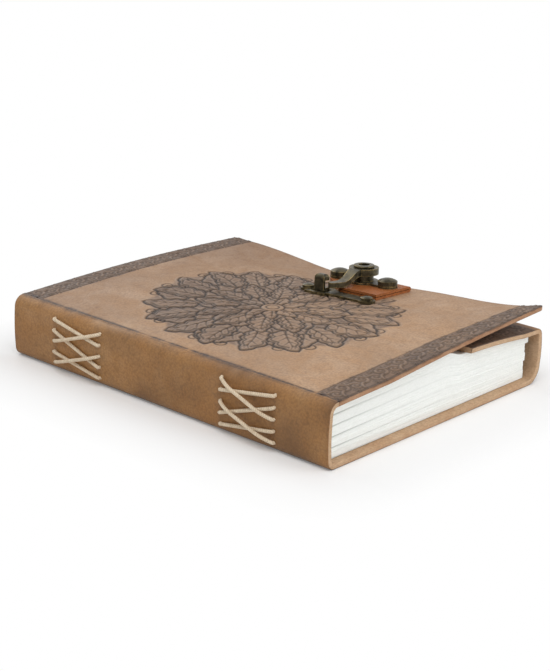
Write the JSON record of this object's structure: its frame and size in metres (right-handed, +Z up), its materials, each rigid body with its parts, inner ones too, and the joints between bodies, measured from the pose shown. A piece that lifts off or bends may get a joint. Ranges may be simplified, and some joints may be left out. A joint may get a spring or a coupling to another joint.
{
  "type": "leather journal",
  "caption": "Handmade leather wrap journal with laced spine, folded paper sections, embossed front cover and a swinging brass clasp on its fore edge.",
  "frame": {"origin": "middle of the book's footprint, on the surface it lies on", "axes": "+X from the spine to the fore edge, +Y from the tail to the head, +Z up from the back cover to the front cover"},
  "size_m": [0.1434, 0.18, 0.037],
  "materials": {
    "hide_cover": "hand-rubbed tan, embossed and stained",
    "hide_wrap": "hand-rubbed golden brown",
    "hide_tab": "smooth orange tan",
    "paper": "matt, rough cut edges",
    "cord": "waxed twisted cord",
    "antique_brass": "darkened antique brass"
  },
  "bodies": {
    "journal": {"cover_wrap": "hide_wrap", "page_block": "paper", "head_lacing": "cord", "tail_lacing": "cord", "catch_post": "antique_brass", "post_washer": "antique_brass"},
    "cover": {"front_cover": "hide_cover", "hasp_plate": "antique_brass", "hasp_rivet_tail": "antique_brass", "hasp_rivet_head": "antique_brass", "clasp_tab": "hide_tab", "hook_plate": "antique_brass", "tab_rivet_tail": "antique_brass", "tab_rivet_head": "antique_brass", "pivot_eyelet": "antique_brass"},
    "hook": {"swing_hook": "antique_brass"}
  },
  "joints": [
    {"name": "cover_hinge", "type": "hinge", "parent": "journal", "child": "cover", "pos_m": [-0.0627, 0, 0.0274], "axis": [0, -1, 0], "range_deg": [0, 180]},
    {"name": "hook_swing", "type": "hinge", "parent": "cover", "child": "hook", "pos_m": [0.05541, -0.00412, 0.03408], "axis": [0.0528, 0.0481, 0.9975], "range_deg": [-11.5, 50]}
  ]
}
